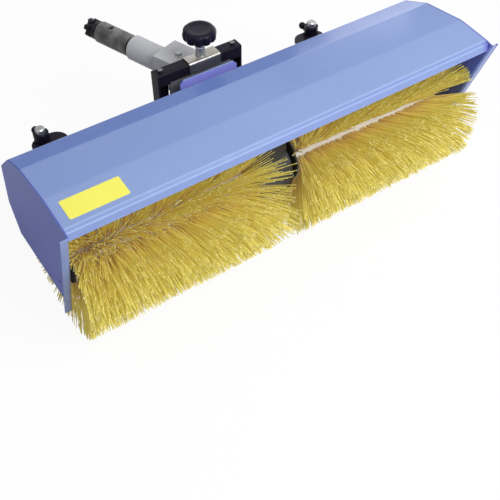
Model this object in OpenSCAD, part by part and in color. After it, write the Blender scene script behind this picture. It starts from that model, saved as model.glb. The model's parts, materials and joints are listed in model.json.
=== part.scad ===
// Power brush sweeper for a two-wheel tractor.
// A folded hood covers a roller brush in two halves. A worm gearbox between the halves turns the brush.
// The drive comes in through a head that swivels behind the hood and is locked by a star knob.
// X runs along the brush, +Y points back to the tractor, +Z is up and the ground is at zero.

/* [Hood] */
// Length of the hood over its end plates
hood_len = 1008; // [960:4:1200]
// Thickness of the hood and end plate sheet
sheet_t = 3; // [2:0.5:4]
// Distance from the brush axis to the rear folds of the hood
hood_r = 222; // [214:1:236]
// Height of the crest fold above the brush axis
crest_rise = 229.5; // [224:0.5:245]
// Distance of the crest fold in front of the brush axis
crest_y = 63; // [50:1:80]
// Height of the front fold above the brush axis
front_rise = 222; // [215:1:228]
// Distance of the front fold in front of the brush axis
front_y = 143; // [130:1:155]
// Height of the folded front lip
lip_h = 16; // [8:1:24]
// Width of the outward flange on each end plate
flange_w = 14.5; // [10:0.5:30]
// Distance of the end plate's front foot from the brush axis
foot_y = 59.5; // [45:0.5:75]
// Lean of the end plate's front edge from upright, in degrees
front_lean = 18.7; // [14:0.1:20]
// Diameter of the fixing hole in each end plate
end_hole_d = 10; // [6:0.5:14]

/* [Brush] */
// Diameter of the brush over its tips
brush_d = 360; // [340:2:372]
// Diameter of the brush core
core_d = 118; // [110:1:124]
// Wall of the brush core
core_wall = 10; // [6:0.5:12]
// Free length between the two cores
core_gap = 140; // [136:1:160]
// Gap between each core and its end plate
core_end_gap = 23; // [19:1:45]
// Diameter of the brush shaft
shaft_d = 30; // [26:0.5:32]
// Rows of strands round each half
strand_rows = 20; // [16:2:20]
// Strands along each row of a half
strand_cols = 10; // [8:1:11]
// Width of a strand at its root
strand_root = 7; // [4:0.5:9]
// Width of a strand at its tip
strand_tip = 5; // [3:0.5:6]

/* [Gearbox] */
// Distance from the brush axis up to the worm axis
gear_centre = 82; // [81.5:0.1:83]
// Length of the worm thread
worm_len = 60; // [48:1:64]
// Wall of the gearbox case
case_wall = 9.5; // [8:0.5:11]
// Inner radius of the gearbox drum
drum_in_r = 62.5; // [61:0.5:64]
// Outer radius of the drive neck tube
neck_r = 17; // [16:0.25:17.5]
// Wall of the drive neck tube
neck_wall = 4.5; // [3:0.5:5]
// Diameter of the worm shaft
worm_shaft_d = 20; // [18:0.5:21]

/* [Portal frame] */
// Length of the portal bar
bar_len = 224; // [216:1:260]
// Width of the portal bar
bar_w = 31; // [30:0.5:34]
// Height of the portal bar
bar_h = 26.5; // [18:0.5:30]
// Gap between the rear folds of the hood and the portal bar
bar_gap = 9.5; // [8.5:0.5:11.5]
// Thickness of the angle posts
post_t = 5; // [4:0.5:7]
// Width of the inward flange of each post
post_flange = 38; // [30:1:40]
// Thickness of the zinc front plate
plate_t = 4; // [3:0.5:5]
// Gap between the zinc front plate and each post's side
plate_side_gap = 24; // [5:0.5:32]

/* [Swivel head] */
// Swivel of the head away from straight, in degrees
swivel = 18.86; // [12:0.2:19]
// Distance of the pivot behind the middle of the portal bar
pivot_back = 37; // [36.5:0.5:41]
// Distance of the clamp stud in front of the pivot
stud_reach = 36; // [35:0.25:36.5]
// Diameter of the clamp stud
stud_d = 12; // [10:0.5:13]
// Width and height of the head's block
block_w = 80; // [78:0.5:81]
// Distance from the pivot back to the rear face of the block
block_back = 78; // [70:1:90]
// Outer diameter of the head's neck
head_neck_d = 62; // [58:0.5:70]
// Distance from the pivot back to the end of the neck
head_neck_end = 177; // [165:1:190]
// Outer diameter of the coupling spigot
spigot_d = 54; // [52:0.5:57]
// Exposed length of the coupling spigot
spigot_len = 112; // [95:1:125]
// Diameter of the locking hole in the spigot
lock_hole_d = 13; // [8:0.5:16]
// Distance of the locking hole from the spigot's end
lock_hole_in = 37; // [34:1:60]
// Diameter of the drive dog
dog_d = 48; // [40:0.5:50]
// Length of the dog's teeth
dog_tooth_len = 23; // [10:1:26]
// Diameter of the input shaft
input_shaft_d = 20; // [18:0.5:21]

/* [Clamp] */
// Length of the zinc saddle
saddle_len = 82; // [60:1:100]
// Thickness of the zinc saddle
saddle_t = 3; // [2:0.5:4]
// Diameter of the star knob
knob_d = 78; // [64:1:84]
// Height of the star knob
knob_h = 50; // [38:1:54]
// Lobes of the star knob
knob_lobes = 10; // [7:1:12]

/* [Support legs] */
// Distance of each leg in from the end of the hood
leg_in = 127.5; // [100:0.5:140]
// Distance of each leg behind the rear folds of the hood
leg_back = 83; // [80:0.5:98]
// Diameter of the leg's stem
stem_d = 22; // [18:0.5:25]
// Height of the bracket plate above the brush axis
bracket_rise = 34; // [20:1:50]
// Thickness of the bracket plate
bracket_t = 6; // [4:0.5:8]
// Width of the bracket plate
bracket_w = 84; // [78:1:100]
// Outer diameter of the sleeve
sleeve_d = 35; // [32:0.5:38]
// Height of the sleeve above the bracket plate
sleeve_up = 25; // [20:1:32]
// Diameter of the castor wheel
wheel_d = 100; // [80:1:104]
// Width of the castor wheel
wheel_w = 32; // [24:1:36]
// Distance of the castor's axle behind its swivel axis
castor_trail = 35; // [28:0.5:38]

/* [Hidden] */
$fn = 48;

// Fits that every piece shares
over = 1;            // overrun of a cut past the face that it opens
run_fit = 0.05;      // radial clearance of a shaft in its bearing or bore
free_gap = 0.3;      // gap between faces that slide past each other
bolt_gap = 0.2;      // radial clearance of a bolt in its hole
wide_gap = 1.5;      // gap between pieces that swing past each other

// Heights and the frame
axle_z = brush_d / 2;
head_z = axle_z + gear_centre;
strand_step = 360 / strand_rows;
tip_r = (axle_z - strand_tip / 2 * sin(strand_step / 2)) / cos(strand_step / 2);
core_in = core_gap / 2;
core_out = hood_len / 2 - sheet_t - core_end_gap;
core_len = core_out - core_in;
bar_y = hood_r + bar_gap + bar_w / 2;
pivot_y = bar_y + pivot_back;
plate_w = bar_len - 2 * (post_t + plate_side_gap);
leg_x = hood_len / 2 - leg_in;
leg_y = hood_r + leg_back;

// Folds of the hood, as angles about the brush axis from level behind it
fold_angles = [78.5, 58.7, 33.2, -2.5, -25];
fold_round = 20;     // bend radius of the hood's rear folds
crest_round = 40;    // of its crest
lip_round = 6;       // and of its two front folds
flange_round = 7;    // outer bend radius of an end plate's flange
bend_steps = 5;      // facets round a bend
lip_step = 8;        // how far the second front fold lies in front of the first
lip_fall = 5;        // how far it lies below the first
lip_out = 3;         // how far the lip's edge leans out
end_hole_y = 27;     // the end plate's hole in front of the brush axis
end_hole_fall = 31;  // and below it

// Gearbox
drum_half = 38;      // half width of the gearbox drum
cover_t = 7;         // thickness of a side cover
cover_hub_r = 34;    // hub of a cover, round its bearing
cover_hub_in = 12;   // how far the hub reaches into the drum
tunnel_in_r = 31.5;  // inner radius of the worm tunnel
tunnel_wall = 5;     // wall of the worm tunnel
tunnel_front = 34;   // worm tunnel in front of the wheel's middle
tunnel_back = 52;    // and behind it
neck_seat = 26;      // how deep the drive neck sits in the case
neck_boss_wall = 6;  // wall of the boss round the neck
case_end = 6;        // closed front end of the tunnel
cover_bolt_count = 6;
cover_bolt_d = 6;
cover_bolt_grip = 12;
bolt_head_share = 0.85;   // radius of a bolt's head, in bolt diameters
bolt_head_h_share = 0.65; // height of a bolt's head, in bolt diameters
bolt_nut_share = 0.8;     // height of a nut, in bolt diameters

// Bearings and seals
brush_bearing_r = 27.5;
brush_bearing_w = 13;
brush_seal_r = 23.5;
brush_seal_w = 5;
small_bearing_r = 21;
small_bearing_w = 14;
input_bearing_w = 12;
race_depth = 1.5;    // groove between the rings of a bearing
race_shares = [0.3, 0.7]; // where the groove lies across the bearing's ring

// Worm gear
gear_module = 4;
wheel_teeth = 28;
worm_starts = 4;
addendum_share = 0.8;     // heights of the teeth, in modules
dedendum_share = 1.1;
addendum = addendum_share * gear_module;
dedendum = dedendum_share * gear_module;
flank = 20;          // pressure angle
wheel_thick_share = 0.40; // tooth thickness as a share of the pitch
worm_thick_share = 0.38;
gear_pitch = PI * gear_module;
worm_lead = worm_starts * gear_pitch;
wheel_pitch_r = wheel_teeth * gear_module / 2;
worm_pitch_r = gear_centre - wheel_pitch_r;
wheel_face = 24;
wheel_hub_r = 26;
wheel_hub_w = 40;
worm_slices = 54;
wheel_slices = 4;
key_w = 8;
key_h = 7;
key_len = 30;

// Brush hubs
hub_flange_t = 4;
hub_flange_in = 2;   // the flange's edge inside the core's outer face
hub_spigot = 17;
hub_boss_r = 24;
hub_boss_out = 16;   // boss beyond the core's inner end
hub_boss_in = 26;    // boss inside the core
hub_pin_d = 8;
hub_pin_out = 10;    // pin beyond the core's inner end
end_bolt_d = 10;
end_bolt_len = 30;
end_washer_r = 20;
end_washer_t = 3;

// Strands
backing_t = 3.5;     // slice of backing that the strands grow from
flare_in = 73;       // how far the tips lean towards the gearbox
flare_out = 36;      // how far the tips lean towards the end plate
flare_power = 3;     // how quickly the lean dies away from the ends

// Portal
guard_t = 4;
guard_in = 26;       // guard in front of the hood's rear folds
guard_y = hood_r - guard_in;
guard_w = 150;
guard_chamfer = 9;
guard_top = 142;     // top of the guard above the brush axis
bar_round = 4;
bar_wall = 4;
bar_z = head_z + block_w / 2 + free_gap; // underside of the bar
post_foot = 50;      // foot of a post below the brush axis
cap_t = 4;
cap_w = 32;
lug_t = 4;
lug_top = 52;        // top of a lug above the brush axis
lug_foot = 70;       // foot of a lug on the hood below it
lug_back_foot = 30;  // foot of a lug at its rear edge below it
plate_foot = 15;     // foot of the front plate below the brush axis
plate_wide_top = 55; // top of its wide part above the brush axis
frame_bolt_d = 8;
bar_bolt_in = 16;    // bar bolts from the ends of the bar
lug_bolt_rises = [35, -15]; // lug bolts about the brush axis
bar_front = bar_y - bar_w / 2;
bar_back = bar_y + bar_w / 2;
post_x = bar_len / 2;

// Swivel housing, and the head about it
flange_t = 8;
flange_half_w = 40;
flange_half_h = 24;
flange_bolt_x = 32;
flange_bolt_z = 14;
housing_r = 25;
housing_back = 22;   // rear end of the housing's tube in front of the pivot
fork_in = 18;        // inner face of each arm from the drive axis
fork_t = 9;
fork_half_w = 14;
pin_d = 14;
pin_head_r = 10;
pin_head_h = 4;
ear_gap = 0.5;
ear_r = 20;
tongue_r = 11;
block_front = 10;    // front of the block's side walls before the pivot
side_wall = 10;
cavity_back = 20;
ear_in = fork_in + fork_t + ear_gap;
block_half = block_w / 2;
shank_r = 24;        // spigot's shank inside the neck
shank_len = 26;
seal_w = 6;
seal_in = 2;         // seal behind the spigot's end face
step_w = 4;          // undercut between neck and spigot
step_depth = 1.5;
spigot_end = head_neck_end + spigot_len;
plug_d = 10;         // filler plug on top of the block
plug_deep = 9;
plug_back = 33;

// Joint at the pivot
ball_r = 9.5;
ball_neck_r = 8;
cup_r = 16.5;
cup_in_r = 12;
cup_back = 9;        // mouth of the cup behind the pivot
cup_deep = 14;       // bottom of the cup in front of the pivot
cup_floor = 6;
cup_stub_r = 8;      // end of the worm shaft in the cup's floor
joint_pin_d = 6;
joint_pin_half = 15.5;
joint_slot_gap = 0.7;

// Dog
dog_gap = 4;
dog_hub_len = 12;
dog_groove = 5;
dog_neck = 7;        // groove between the dog's collar and its claw
dog_teeth = 6;
dog_slot_share = 0.27; // radius of the notches between the teeth, in dog radii
dog_bore_share = 0.46; // inner radius of the teeth, in dog radii
dog_end = spigot_end + dog_gap + dog_hub_len + dog_tooth_len;

// Clamp
slot_gap = 0.8;
stud_x = stud_reach * sin(swivel);
stud_y = pivot_y - stud_reach * cos(swivel);
stud_mid_y = (stud_y + pivot_y - stud_reach) / 2;
stud_drift = stud_reach * (1 - cos(swivel)) / 2;
saddle_z = bar_z + bar_h + free_gap;
saddle_round = bar_round + saddle_t; // outer bend radius of the saddle
washer_r = 12;
washer_t = 2.5;
nut_r = 11;
nut_h = 13;
nut_z = saddle_z + saddle_t + free_gap;
knob_z = nut_z + washer_t + nut_h;
// Outline of the knob, in knob radii and knob heights
knob_shares = [
    [0, 0], [0.3, 0], [0.36, 0.12], [0.62, 0.2], [0.88, 0.34], [0.98, 0.46], [1, 0.58], [0.98, 0.72],
    [0.93, 0.84], [0.84, 0.94], [0.72, 0.985], [0.58, 1], [0, 1]
];
lobe_share = 0.22;        // radius of the grooves between lobes, in knob radii
lobe_out_share = 1.12;    // where those grooves are centred at mid height, in knob radii
lobe_lean = 16;           // lean of the grooves, which run out towards the knob's top
dish_depth = 3;           // dish in the knob's top
dish_r = 70;              // radius of its hollow
knob_wall = 10;           // solid top over the stud's end

// Legs
bracket_z = axle_z + bracket_rise;
bracket_shift = 12.5;     // middle of the bracket inside the leg
bracket_past = 17;        // rear edge of the bracket behind the leg
bracket_round = 30;       // its rear corners
bracket_x = leg_x - bracket_shift;
bracket_flange_h = 42;
bracket_flange_t = 5;
bracket_bolt_fall = 20;
bracket_bolt_span = 60;
sleeve_down = 34;
stem_up = 13;             // stem above the sleeve
stem_chamfer = 2;
stem_journal_r = 6;
stem_cap_r = 9;           // rivet head under the fork
stem_cap_h = 5;
stem_shoulder = 27;       // shoulder on which the fork turns, above the wheel
fork_race_r = 24;
fork_plate_t = 8;
fork_gap = 4;             // fork's plate above the wheel
fork_leg_t = 3;
fork_side_gap = 2;
fork_foot_r = 12;
fork_front = 15;
axle_d = 10;
axle_head_r = 9;
axle_head_h = 4;
rim_share = 0.72;         // radius of the rim, in wheel radii
rim_recess = 6;
hub_r = 12;
tyre_round = 7;
clamp_boss_r = 8;
clamp_boss_len = 7;
clamp_screw_d = 8;
clamp_drop = 19;          // clamp screw below the sleeve's top
clamp_neck = 13;
clamp_knob_r = 9;

// The frame's origin lies below the middle of the whole part
rear_reach = pivot_y + dog_end * cos(swivel) + dog_d / 2 * sin(swivel);
frame_y = (axle_z - rear_reach) / 2;

// Colours
paint = "cornflowerblue";
black = "#1c1c20";
zinc = "#b9b7a0";
steel = "#8d9094";
dark_steel = "#54565a";
cast_grey = "#a9aaac";
straw = "#d8b13a";
beige = "#d9c9ac";

// Helpers

function unit(v) = v / norm(v);

// Right-hand normal of the step from a to b
function side(a, b) = let (d = unit(b - a)) [d[1], -d[0]];

// A path moved sideways by t, with mitred corners
function inset(p, t) = [
    for (i = [0 : len(p) - 1])
        let (
            n0 = side(p[max(i - 1, 0)], p[max(i, 1)]),
            n1 = side(p[min(i, len(p) - 2)], p[min(i + 1, len(p) - 1)])
        )
        p[i] + t * (n0 + n1) / (1 + n0 * n1)
];

function reversed(p) = [for (i = [len(p) - 1 : -1 : 0]) p[i]];

// The closed outline of a folded sheet along a path
function sheet(p, t) = concat(p, reversed(inset(p, t)));

// A path whose inner corners are bent to the radii r, given corner by corner
function bent(p, r) = [
    for (i = [0 : len(p) - 1])
        if (i == 0 || i == len(p) - 1) p[i]
        else let (
            a = unit(p[i - 1] - p[i]), b = unit(p[i + 1] - p[i]),
            half = acos(a * b) / 2, mid = p[i] + unit(a + b) * r[i - 1] / sin(half),
            from = p[i] + a * r[i - 1] / tan(half) - mid, to = p[i] + b * r[i - 1] / tan(half) - mid
        )
            for (k = [0 : bend_steps]) mid + unit(from * (bend_steps - k) + to * k) * r[i - 1]
];

// A fold of the hood at angle a about the brush axis, as y and z
function fold(a) = [hood_r * cos(a), axle_z + hood_r * sin(a)];

// Where the line through two points has height z, as y and z
function on_line(a, b, z) = a + (b - a) * (z - a[1]) / (b[1] - a[1]);

module place() translate([0, frame_y, 0]) children();
module at_axle() place() translate([0, 0, axle_z]) children();
module at_worm() place() translate([0, 0, head_z]) children();
module at_head() place() translate([0, pivot_y, head_z]) rotate([0, 0, swivel]) children();
module both_ends() {
    children();
    mirror([1, 0, 0]) children();
}
module both_heights() {
    children();
    mirror([0, 0, 1]) children();
}
module rod_x(r, a, b) translate([a, 0, 0]) rotate([0, 90, 0]) cylinder(r = r, h = b - a);
module rod_y(r, a, b) translate([0, a, 0]) rotate([-90, 0, 0]) cylinder(r = r, h = b - a);
module rod_z(r, a, b) translate([0, 0, a]) cylinder(r = r, h = b - a);
module block(x, y, z) translate([x[0], y[0], z[0]]) cube([x[1] - x[0], y[1] - y[0], z[1] - z[0]]);

// A shape drawn in y and z, extruded along x from a to b
module profile_x(a, b) translate([a, 0, 0]) rotate([90, 0, 90]) linear_extrude(b - a) children();

// A hexagon bolt whose head stands on z zero and whose shank goes down
module bolt(d, grip) {
    rod_z(d / 2, -grip, bolt_head_h_share * d);
    cylinder(r = bolt_head_share * d, h = bolt_head_h_share * d, $fn = 6);
}

// The same bolt with a nut below the pieces that it grips
module bolt_and_nut(d, grip) {
    nut = bolt_nut_share * d;
    bolt(d, grip + nut + over);
    translate([0, 0, -grip - nut]) cylinder(r = bolt_head_share * d, h = nut, $fn = 6);
}

// A rolling bearing about z, with a groove between its rings on both faces
module bearing(r_in, r_out, w) {
    groove = [for (s = race_shares) r_in + s * (r_out - r_in)];
    rotate_extrude() polygon([
        [r_in, 0], [groove[0], 0], [groove[0], race_depth], [groove[1], race_depth], [groove[1], 0],
        [r_out, 0], [r_out, w], [groove[1], w], [groove[1], w - race_depth], [groove[0], w - race_depth],
        [groove[0], w], [r_in, w]
    ]);
}

// A lip seal about z
module seal(r_in, r_out, w) rotate_extrude() polygon([
    [r_in, w / 2], [r_in + w / 4, 0], [r_out, 0], [r_out, w], [r_in + w / 2, w]
]);

// Hood

lip_fold = [-front_y - lip_step, axle_z + front_rise - lip_fall];
lip_end = lip_fold - [lip_out, lip_h];
front_fold = [-front_y, axle_z + front_rise];
crest_fold = [-crest_y, axle_z + crest_rise];
folds = [for (a = fold_angles) fold(a)];
top_path = bent(
    concat([lip_end, lip_fold, front_fold, crest_fold], folds),
    concat([lip_round, lip_round, crest_round], [for (a = fold_angles) fold_round])
);
hood_foot = folds[len(folds) - 1];
front_foot = [-foot_y, hood_foot[1]];
front_top = front_foot + [-tan(front_lean), 1] * (lip_fold[1] - front_foot[1]);

// A point on the hood's upper rear wall at height z
function wall(z) = on_line(folds[2], folds[3], z);
wall_tilt = atan2(folds[3][0] - folds[2][0], folds[2][1] - folds[3][1]);

module hood_shell() color(paint) place() difference() {
    profile_x(sheet_t - hood_len / 2, hood_len / 2 - sheet_t) polygon(sheet(top_path, sheet_t));
    translate([0, 0, head_z]) rod_y(neck_r + wide_gap, 0, hood_r + over);
    both_ends() bracket_bolts()
        rod_z(frame_bolt_d / 2 + bolt_gap, -bracket_flange_t - sheet_t - over, over);
}

// An end plate whose front edge is bent outwards to a flange: a bent sheet cut to the hood's outline
module end_plate() difference() {
    inner = hood_len / 2 - sheet_t;
    ahead = [cos(front_lean), sin(front_lean)] * over;
    length = norm(front_top - front_foot);
    bend = bent([[sheet_t + flange_w, 0], [0, 0], [0, 2 * length]], [flange_round]);
    rounds = concat([crest_round], [for (a = fold_angles) fold_round]);
    intersection() {
        profile_x(inner - over, inner + sheet_t + flange_w + over) polygon(concat(
            [front_foot - ahead, front_top - ahead],
            bent(concat([front_fold, crest_fold], folds), rounds)
        ));
        translate([inner, front_foot[0], front_foot[1]]) rotate([front_lean, 0, 0])
            translate([0, 0, -2 * length]) linear_extrude(4 * length) polygon(sheet(bend, sheet_t));
    }
    translate([0, -end_hole_y, axle_z - end_hole_fall])
        rod_x(end_hole_d / 2, inner - over, inner + sheet_t + over);
}
module right_end_plate() color(paint) place() end_plate();
module left_end_plate() color(paint) place() mirror([1, 0, 0]) end_plate();

// Portal frame

// Where the hood's upper rear wall stands at y
function wall_at(y) = folds[2] + (folds[3] - folds[2]) * (y - folds[2][0]) / (folds[3][0] - folds[2][0]);

module rear_guard() color(paint) place() difference() {
    top = axle_z + guard_top;
    back = guard_y + guard_t;
    half = guard_w / 2;
    intersection() {
        profile_x(-half, half) polygon([wall_at(guard_y), wall_at(back), [back, top], [guard_y, top]]);
        translate([0, back + over, 0]) rotate([90, 0, 0]) linear_extrude(guard_t + 2 * over) polygon([
            [-half, 0], [half, 0], [half, top - guard_chamfer], [half - guard_chamfer, top],
            [guard_chamfer - half, top], [-half, top - guard_chamfer]
        ]);
    }
    translate([0, 0, head_z]) rod_y(neck_r + wide_gap, guard_y - over, back + over);
}

module portal_lug() difference() {
    top = axle_z + lug_top;
    profile_x(post_x, post_x + lug_t) polygon([
        wall(top), folds[3], on_line(folds[3], folds[4], axle_z - lug_foot),
        [bar_back, axle_z - lug_back_foot], [bar_back, top]
    ]);
    lug_bolt_places() rod_x(frame_bolt_d / 2 + bolt_gap, post_x - over, post_x + lug_t + over);
}
module lug_bolt_places() for (rise = lug_bolt_rises) translate([0, bar_y, axle_z + rise]) children();
module portal_lugs() color(paint) place() both_ends() portal_lug();

module portal_post() difference() {
    foot = axle_z - post_foot;
    union() {
        block([post_x - post_t, post_x], [bar_front, bar_back], [foot, bar_z]);
        block([post_x - post_flange, post_x], [bar_back - post_t, bar_back], [foot, bar_z]);
        block([post_x - cap_w, post_x], [bar_front, bar_back], [bar_z - cap_t, bar_z]);
    }
    lug_bolt_places() rod_x(frame_bolt_d / 2 + bolt_gap, post_x - post_t - over, post_x + over);
    bar_bolt_place() rod_z(frame_bolt_d / 2 + bolt_gap, bar_z - cap_t - over, bar_z + over);
}
module bar_bolt_place() translate([post_x - bar_bolt_in, bar_y, 0]) children();
module portal_posts() color(black) place() both_ends() portal_post();

// A channel that is open below, with closed ends, rounded top edges and a slot for the clamp stud
module portal_bar() color(black) place() difference() {
    side_y = bar_w / 2 - bar_round;
    slot_r = stud_d / 2 + stud_drift + slot_gap;
    top = bar_z + bar_h;
    translate([0, bar_y, 0]) {
        block([-post_x, post_x], [-bar_w / 2, bar_w / 2], [bar_z, top - bar_round]);
        block([-post_x, post_x], [-side_y, side_y], [bar_z, top]);
        for (y = [-side_y, side_y]) translate([0, y, top - bar_round]) rod_x(bar_round, -post_x, post_x);
    }
    block(
        [bar_wall - post_x, post_x - bar_wall],
        [bar_front + bar_wall, bar_back - bar_wall],
        [bar_z - over, top - bar_wall]
    );
    translate([0, stud_mid_y, 0]) {
        block([-stud_x, stud_x], [-slot_r, slot_r], [bar_z, top + over]);
        both_ends() translate([stud_x, 0, 0]) rod_z(slot_r, bar_z, top + over);
    }
    both_ends() bar_bolt_place() rod_z(frame_bolt_d / 2 + bolt_gap, bar_z, top + over);
}

module front_plate() color(zinc) place() difference() {
    foot = axle_z - plate_foot;
    wide = post_x - post_t;
    union() {
        block([-plate_w / 2, plate_w / 2], [bar_front, bar_front + plate_t], [foot, bar_z]);
        block([-wide, wide], [bar_front, bar_front + plate_t], [foot, axle_z + plate_wide_top]);
    }
    both_ends() block(
        [post_x - cap_w - free_gap, post_x], [bar_front - over, bar_front + plate_t + over],
        [bar_z - cap_t - free_gap, bar_z + over]
    );
    translate([0, 0, head_z]) rod_y(neck_r, bar_front - over, bar_front + plate_t + over);
    flange_bolts() rod_y(frame_bolt_d / 2 + bolt_gap, bar_front - over, bar_front + plate_t + over);
}
module flange_bolts() translate([0, 0, head_z])
    for (x = [-flange_bolt_x, flange_bolt_x], z = [-flange_bolt_z, flange_bolt_z])
        translate([x, 0, z]) children();

module frame_bolts() color(steel) place() {
    flange_face = bar_front + plate_t + flange_t;
    both_ends() {
        bar_bolt_place() translate([0, 0, bar_z + bar_h]) bolt_and_nut(frame_bolt_d, bar_h + cap_t);
        translate([post_x + lug_t, 0, 0]) lug_bolt_places()
            rotate([0, 90, 0]) bolt_and_nut(frame_bolt_d, post_t + lug_t);
        bracket_bolts() bolt_and_nut(frame_bolt_d, bracket_flange_t + sheet_t);
    }
    flange_bolts() translate([0, flange_face, 0])
        rotate([-90, 0, 0]) bolt_and_nut(frame_bolt_d, flange_t + plate_t);
}

module swivel_housing() color(dark_steel) at_worm() difference() {
    face = bar_front + plate_t;
    tube_end = pivot_y - housing_back;
    bearing_end = face + flange_t + small_bearing_w;
    union() {
        block([-flange_half_w, flange_half_w], [face, face + flange_t], [-flange_half_h, flange_half_h]);
        rod_y(housing_r, face, tube_end);
        both_heights() {
            block([-fork_half_w, fork_half_w], [face + flange_t, pivot_y], [fork_in, fork_in + fork_t]);
            translate([0, pivot_y, 0]) rod_z(fork_half_w, fork_in, fork_in + fork_t);
        }
    }
    rod_y(worm_shaft_d / 2 + wide_gap, face - over, tube_end + over);
    rod_y(small_bearing_r, face + flange_t, bearing_end);
    rod_y(cup_r + wide_gap / 2, bearing_end - over, tube_end + over);
    both_heights() translate([0, pivot_y, 0])
        rod_z(pin_d / 2 + run_fit, fork_in - over, fork_in + fork_t + over);
    translate([0, 0, -head_z]) flange_bolts()
        rod_y(frame_bolt_d / 2 + bolt_gap, face - over, face + flange_t + over);
}

// Gearbox

module drive_neck() color(dark_steel) at_worm() difference() {
    neck_end = bar_front + plate_t;
    rod_y(neck_r, tunnel_back, neck_end);
    rod_y(neck_r - neck_wall, tunnel_back - over, neck_end + over);
}

module gearbox_case() color(dark_steel) at_axle() difference() {
    drum_r = drum_in_r + case_wall;
    tunnel_r = tunnel_in_r + tunnel_wall;
    bearing_front = tunnel_front + small_bearing_w;
    union() {
        rod_x(drum_r, -drum_half, drum_half);
        translate([0, 0, gear_centre]) {
            rod_y(tunnel_r, -bearing_front - case_end, tunnel_back + case_end);
            rod_y(neck_r + neck_boss_wall, 0, tunnel_back + neck_seat);
        }
    }
    rod_x(drum_in_r, -drum_half - over, drum_half + over);
    translate([0, 0, gear_centre]) {
        rod_y(tunnel_in_r, -tunnel_front, tunnel_back);
        rod_y(small_bearing_r, -bearing_front, 0);
        rod_y(neck_r, 0, tunnel_back + neck_seat + over);
    }
    cover_bolt_places() rod_x(cover_bolt_d / 2 + bolt_gap, drum_half - cover_bolt_grip, drum_half + over);
    mirror([1, 0, 0]) cover_bolt_places()
        rod_x(cover_bolt_d / 2 + bolt_gap, drum_half - cover_bolt_grip, drum_half + over);
}
module cover_bolt_places() for (i = [0 : cover_bolt_count - 1])
    rotate([i * 360 / cover_bolt_count, 0, 0]) translate([0, drum_in_r + case_wall / 2, 0]) children();

module cover() difference() {
    hub_in = drum_half - cover_hub_in;
    outer = drum_half + cover_t;
    union() {
        rod_x(drum_in_r + case_wall, drum_half, outer);
        rod_x(cover_hub_r, hub_in, outer);
    }
    rod_x(shaft_d / 2 + wide_gap, hub_in - over, outer + over);
    rod_x(brush_bearing_r, hub_in - over, hub_in + brush_bearing_w);
    rod_x(brush_seal_r, outer - brush_seal_w, outer + over);
    cover_bolt_places() rod_x(cover_bolt_d / 2 + bolt_gap, drum_half - over, outer + over);
}
module right_cover() color(dark_steel) at_axle() cover();
module left_cover() color(dark_steel) at_axle() mirror([1, 0, 0]) cover();

module cover_bolts() color(steel) at_axle() both_ends() cover_bolt_places()
    translate([drum_half + cover_t, 0, 0]) rotate([0, 90, 0]) bolt(cover_bolt_d, cover_t + cover_bolt_grip);

module shaft_bearings() color(steel) at_axle() both_ends() translate([drum_half - cover_hub_in, 0, 0])
    rotate([0, 90, 0]) bearing(shaft_d / 2 + run_fit, brush_bearing_r, brush_bearing_w);

module shaft_seals() color(black) at_axle() both_ends()
    translate([drum_half + cover_t - brush_seal_w, 0, 0]) rotate([0, 90, 0])
        seal(shaft_d / 2 + run_fit, brush_seal_r, brush_seal_w);

module worm_bearings() color(steel) at_worm() {
    for (y = [-tunnel_front - small_bearing_w, bar_front + plate_t + flange_t])
        translate([0, y, 0]) rotate([-90, 0, 0])
            bearing(worm_shaft_d / 2 + run_fit, small_bearing_r, small_bearing_w);
}

// Support brackets

// Places of the bracket's bolts, with z along the bolt and zero on the flange's outer face
module bracket_bolts() for (s = [-0.5, 0.5]) {
    z = bracket_z - bracket_bolt_fall;
    translate([bracket_x + s * bracket_bolt_span, wall(z)[0], z]) rotate([wall_tilt - 90, 0, 0])
        translate([0, 0, bracket_flange_t]) children();
}

module bracket() difference() {
    plate_top = bracket_z + bracket_t;
    foot = plate_top - bracket_flange_h;
    sleeve_top = plate_top + sleeve_up;
    sleeve_foot = bracket_z - sleeve_down;
    clamp_z = sleeve_top - clamp_drop;
    clamp_end = sleeve_d / 2 + clamp_boss_len;
    half = bracket_w / 2;
    end = leg_y + bracket_past;
    union() {
        profile_x(bracket_x - half, bracket_x + half) {
            polygon([
                wall(bracket_z), [end - bracket_round, bracket_z],
                [end - bracket_round, plate_top], wall(plate_top)
            ]);
            polygon(sheet([wall(foot), wall(plate_top)], bracket_flange_t));
        }
        translate([bracket_x, end - bracket_round, 0]) {
            block([bracket_round - half, half - bracket_round], [0, bracket_round], [bracket_z, plate_top]);
            both_ends() translate([half - bracket_round, 0, 0]) rod_z(bracket_round, bracket_z, plate_top);
        }
        translate([leg_x, leg_y, 0]) rod_z(sleeve_d / 2, sleeve_foot, sleeve_top);
        translate([leg_x, leg_y, clamp_z]) rod_y(clamp_boss_r, 0, clamp_end);
    }
    translate([leg_x, leg_y, 0]) rod_z(stem_d / 2 + run_fit, sleeve_foot - over, sleeve_top + over);
    translate([leg_x, leg_y, clamp_z]) rod_y(clamp_screw_d / 2 + run_fit, 0, clamp_end + over);
    bracket_bolts() rod_z(frame_bolt_d / 2 + bolt_gap, -bracket_flange_t - over, over);
}
module right_bracket() color(black) place() bracket();
module left_bracket() color(black) place() mirror([1, 0, 0]) bracket();

// Brush

core_r = core_d / 2;
shaft_half = core_out + hub_flange_t - run_fit;

module brush_shaft() color(steel) at_axle() difference() {
    rod_x(shaft_d / 2, -shaft_half, shaft_half);
    key_slot(shaft_d / 2 + over);
    both_ends() {
        hub_pin_place() rod_z(hub_pin_d / 2, -shaft_d, shaft_d);
        rod_x(end_bolt_d / 2, shaft_half - end_bolt_len, shaft_half + over);
    }
}

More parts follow.
